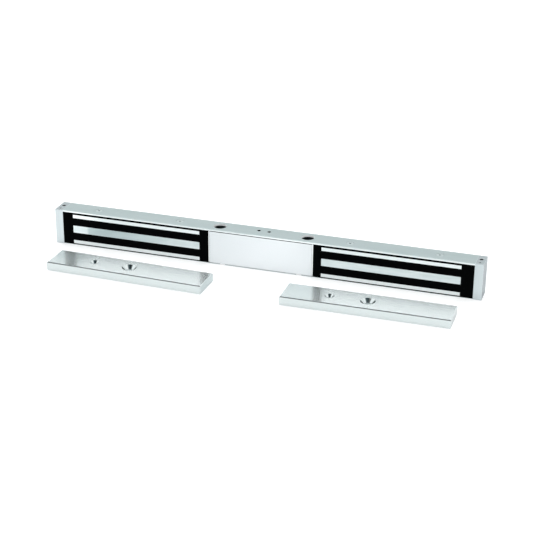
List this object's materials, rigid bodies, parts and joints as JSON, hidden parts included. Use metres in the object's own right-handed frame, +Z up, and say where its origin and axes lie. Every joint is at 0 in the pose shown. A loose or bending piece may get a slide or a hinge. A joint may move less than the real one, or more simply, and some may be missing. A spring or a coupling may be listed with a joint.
{
  "type": "double-door magnetic lock",
  "caption": "Long bar-shaped electromagnetic lock for double doors with an epoxy-potted magnet at each side of a wiring compartment, and loose steel armature plates.",
  "frame": {"origin": "centre of the lock body's underside", "axes": "+X along the lock to its right as seen from the front, -Y out of the pole faces towards the door, +Z up to the mounting face"},
  "size_m": [0.5, 0.1082, 0.042],
  "materials": {
    "anodised_aluminium": "clear satin anodised extrusion",
    "milled_aluminium": "fine milled, clear anodised",
    "cover_enamel": "satin pale silver-white coating on aluminium sheet",
    "lamination_steel": "ground flat across the laminations, thin nickel plating",
    "plated_steel": "ground and bright plated",
    "screw_steel": "bright zinc plated",
    "potting_epoxy": "cast black epoxy",
    "former_nylon": "moulded nylon",
    "enamelled_copper": "wound enamelled wire",
    "board_laminate": "green solder mask on glass-fibre laminate",
    "terminal_plastic": "moulded, green",
    "header_plastic": "moulded, black",
    "gold_flash": "gold flashed",
    "spacer_brass": "turned",
    "jumper_plastic": "moulded, red",
    "varistor_coating": "dipped epoxy coating, blue",
    "red_insulation": "extruded PVC",
    "black_insulation": "extruded PVC"
  },
  "bodies": {
    "lock_body": {"housing": "anodised_aluminium", "end_block_left": "milled_aluminium", "end_block_right": "milled_aluminium", "end_block_screws": "screw_steel", "bay_divider_left": "milled_aluminium", "bay_divider_right": "milled_aluminium", "core_left": "lamination_steel", "core_right": "lamination_steel", "coil_former_left": "former_nylon", "coil_former_right": "former_nylon", "coil_left": "enamelled_copper", "coil_right": "enamelled_copper", "epoxy_left": "potting_epoxy", "epoxy_right": "potting_epoxy", "core_screws_left": "screw_steel", "core_screws_right": "screw_steel", "board_spacers": "spacer_brass", "circuit_board": "board_laminate", "board_screws": "screw_steel", "terminal_left": "terminal_plastic", "terminal_right": "terminal_plastic", "terminal_screws": "screw_steel", "jumper_headers": "header_plastic", "jumper_pins": "gold_flash", "varistor_left": "varistor_coating", "varistor_right": "varistor_coating", "red_lead_left": "red_insulation", "black_lead_left": "black_insulation", "red_lead_right": "red_insulation", "black_lead_right": "black_insulation"},
    "cover": {"cover": "cover_enamel", "cover_screws": "screw_steel"},
    "voltage_jumper_left": {"voltage_jumper_left": "jumper_plastic"},
    "voltage_jumper_right": {"voltage_jumper_right": "jumper_plastic"},
    "armature_left": {"armature_plate_left": "plated_steel"},
    "armature_right": {"armature_plate_right": "plated_steel"}
  },
  "joints": [
    {"name": "cover_slide", "type": "slide", "parent": "lock_body", "child": "cover", "axis": [0, -1, 0], "range_m": [0, 0.035]},
    {"name": "jumper_left_slide", "type": "slide", "parent": "lock_body", "child": "voltage_jumper_left", "axis": [0, -1, 0], "range_m": [0, 0.0062]},
    {"name": "jumper_right_slide", "type": "slide", "parent": "lock_body", "child": "voltage_jumper_right", "axis": [0, -1, 0], "range_m": [0, 0.0062]},
    {"name": "armature_left_swing", "type": "hinge", "parent": "lock_body", "child": "armature_left", "pos_m": [-0.13224, -0.03864, -0.01534], "axis": [0.9997, -0.0175, -0.0175], "range_deg": [-90.02, 0]},
    {"name": "armature_right_swing", "type": "hinge", "parent": "lock_body", "child": "armature_right", "pos_m": [0.13946, -0.03865, -0.01535], "axis": [1, 0.0026, 0.0026], "range_deg": [-90, 0]}
  ]
}
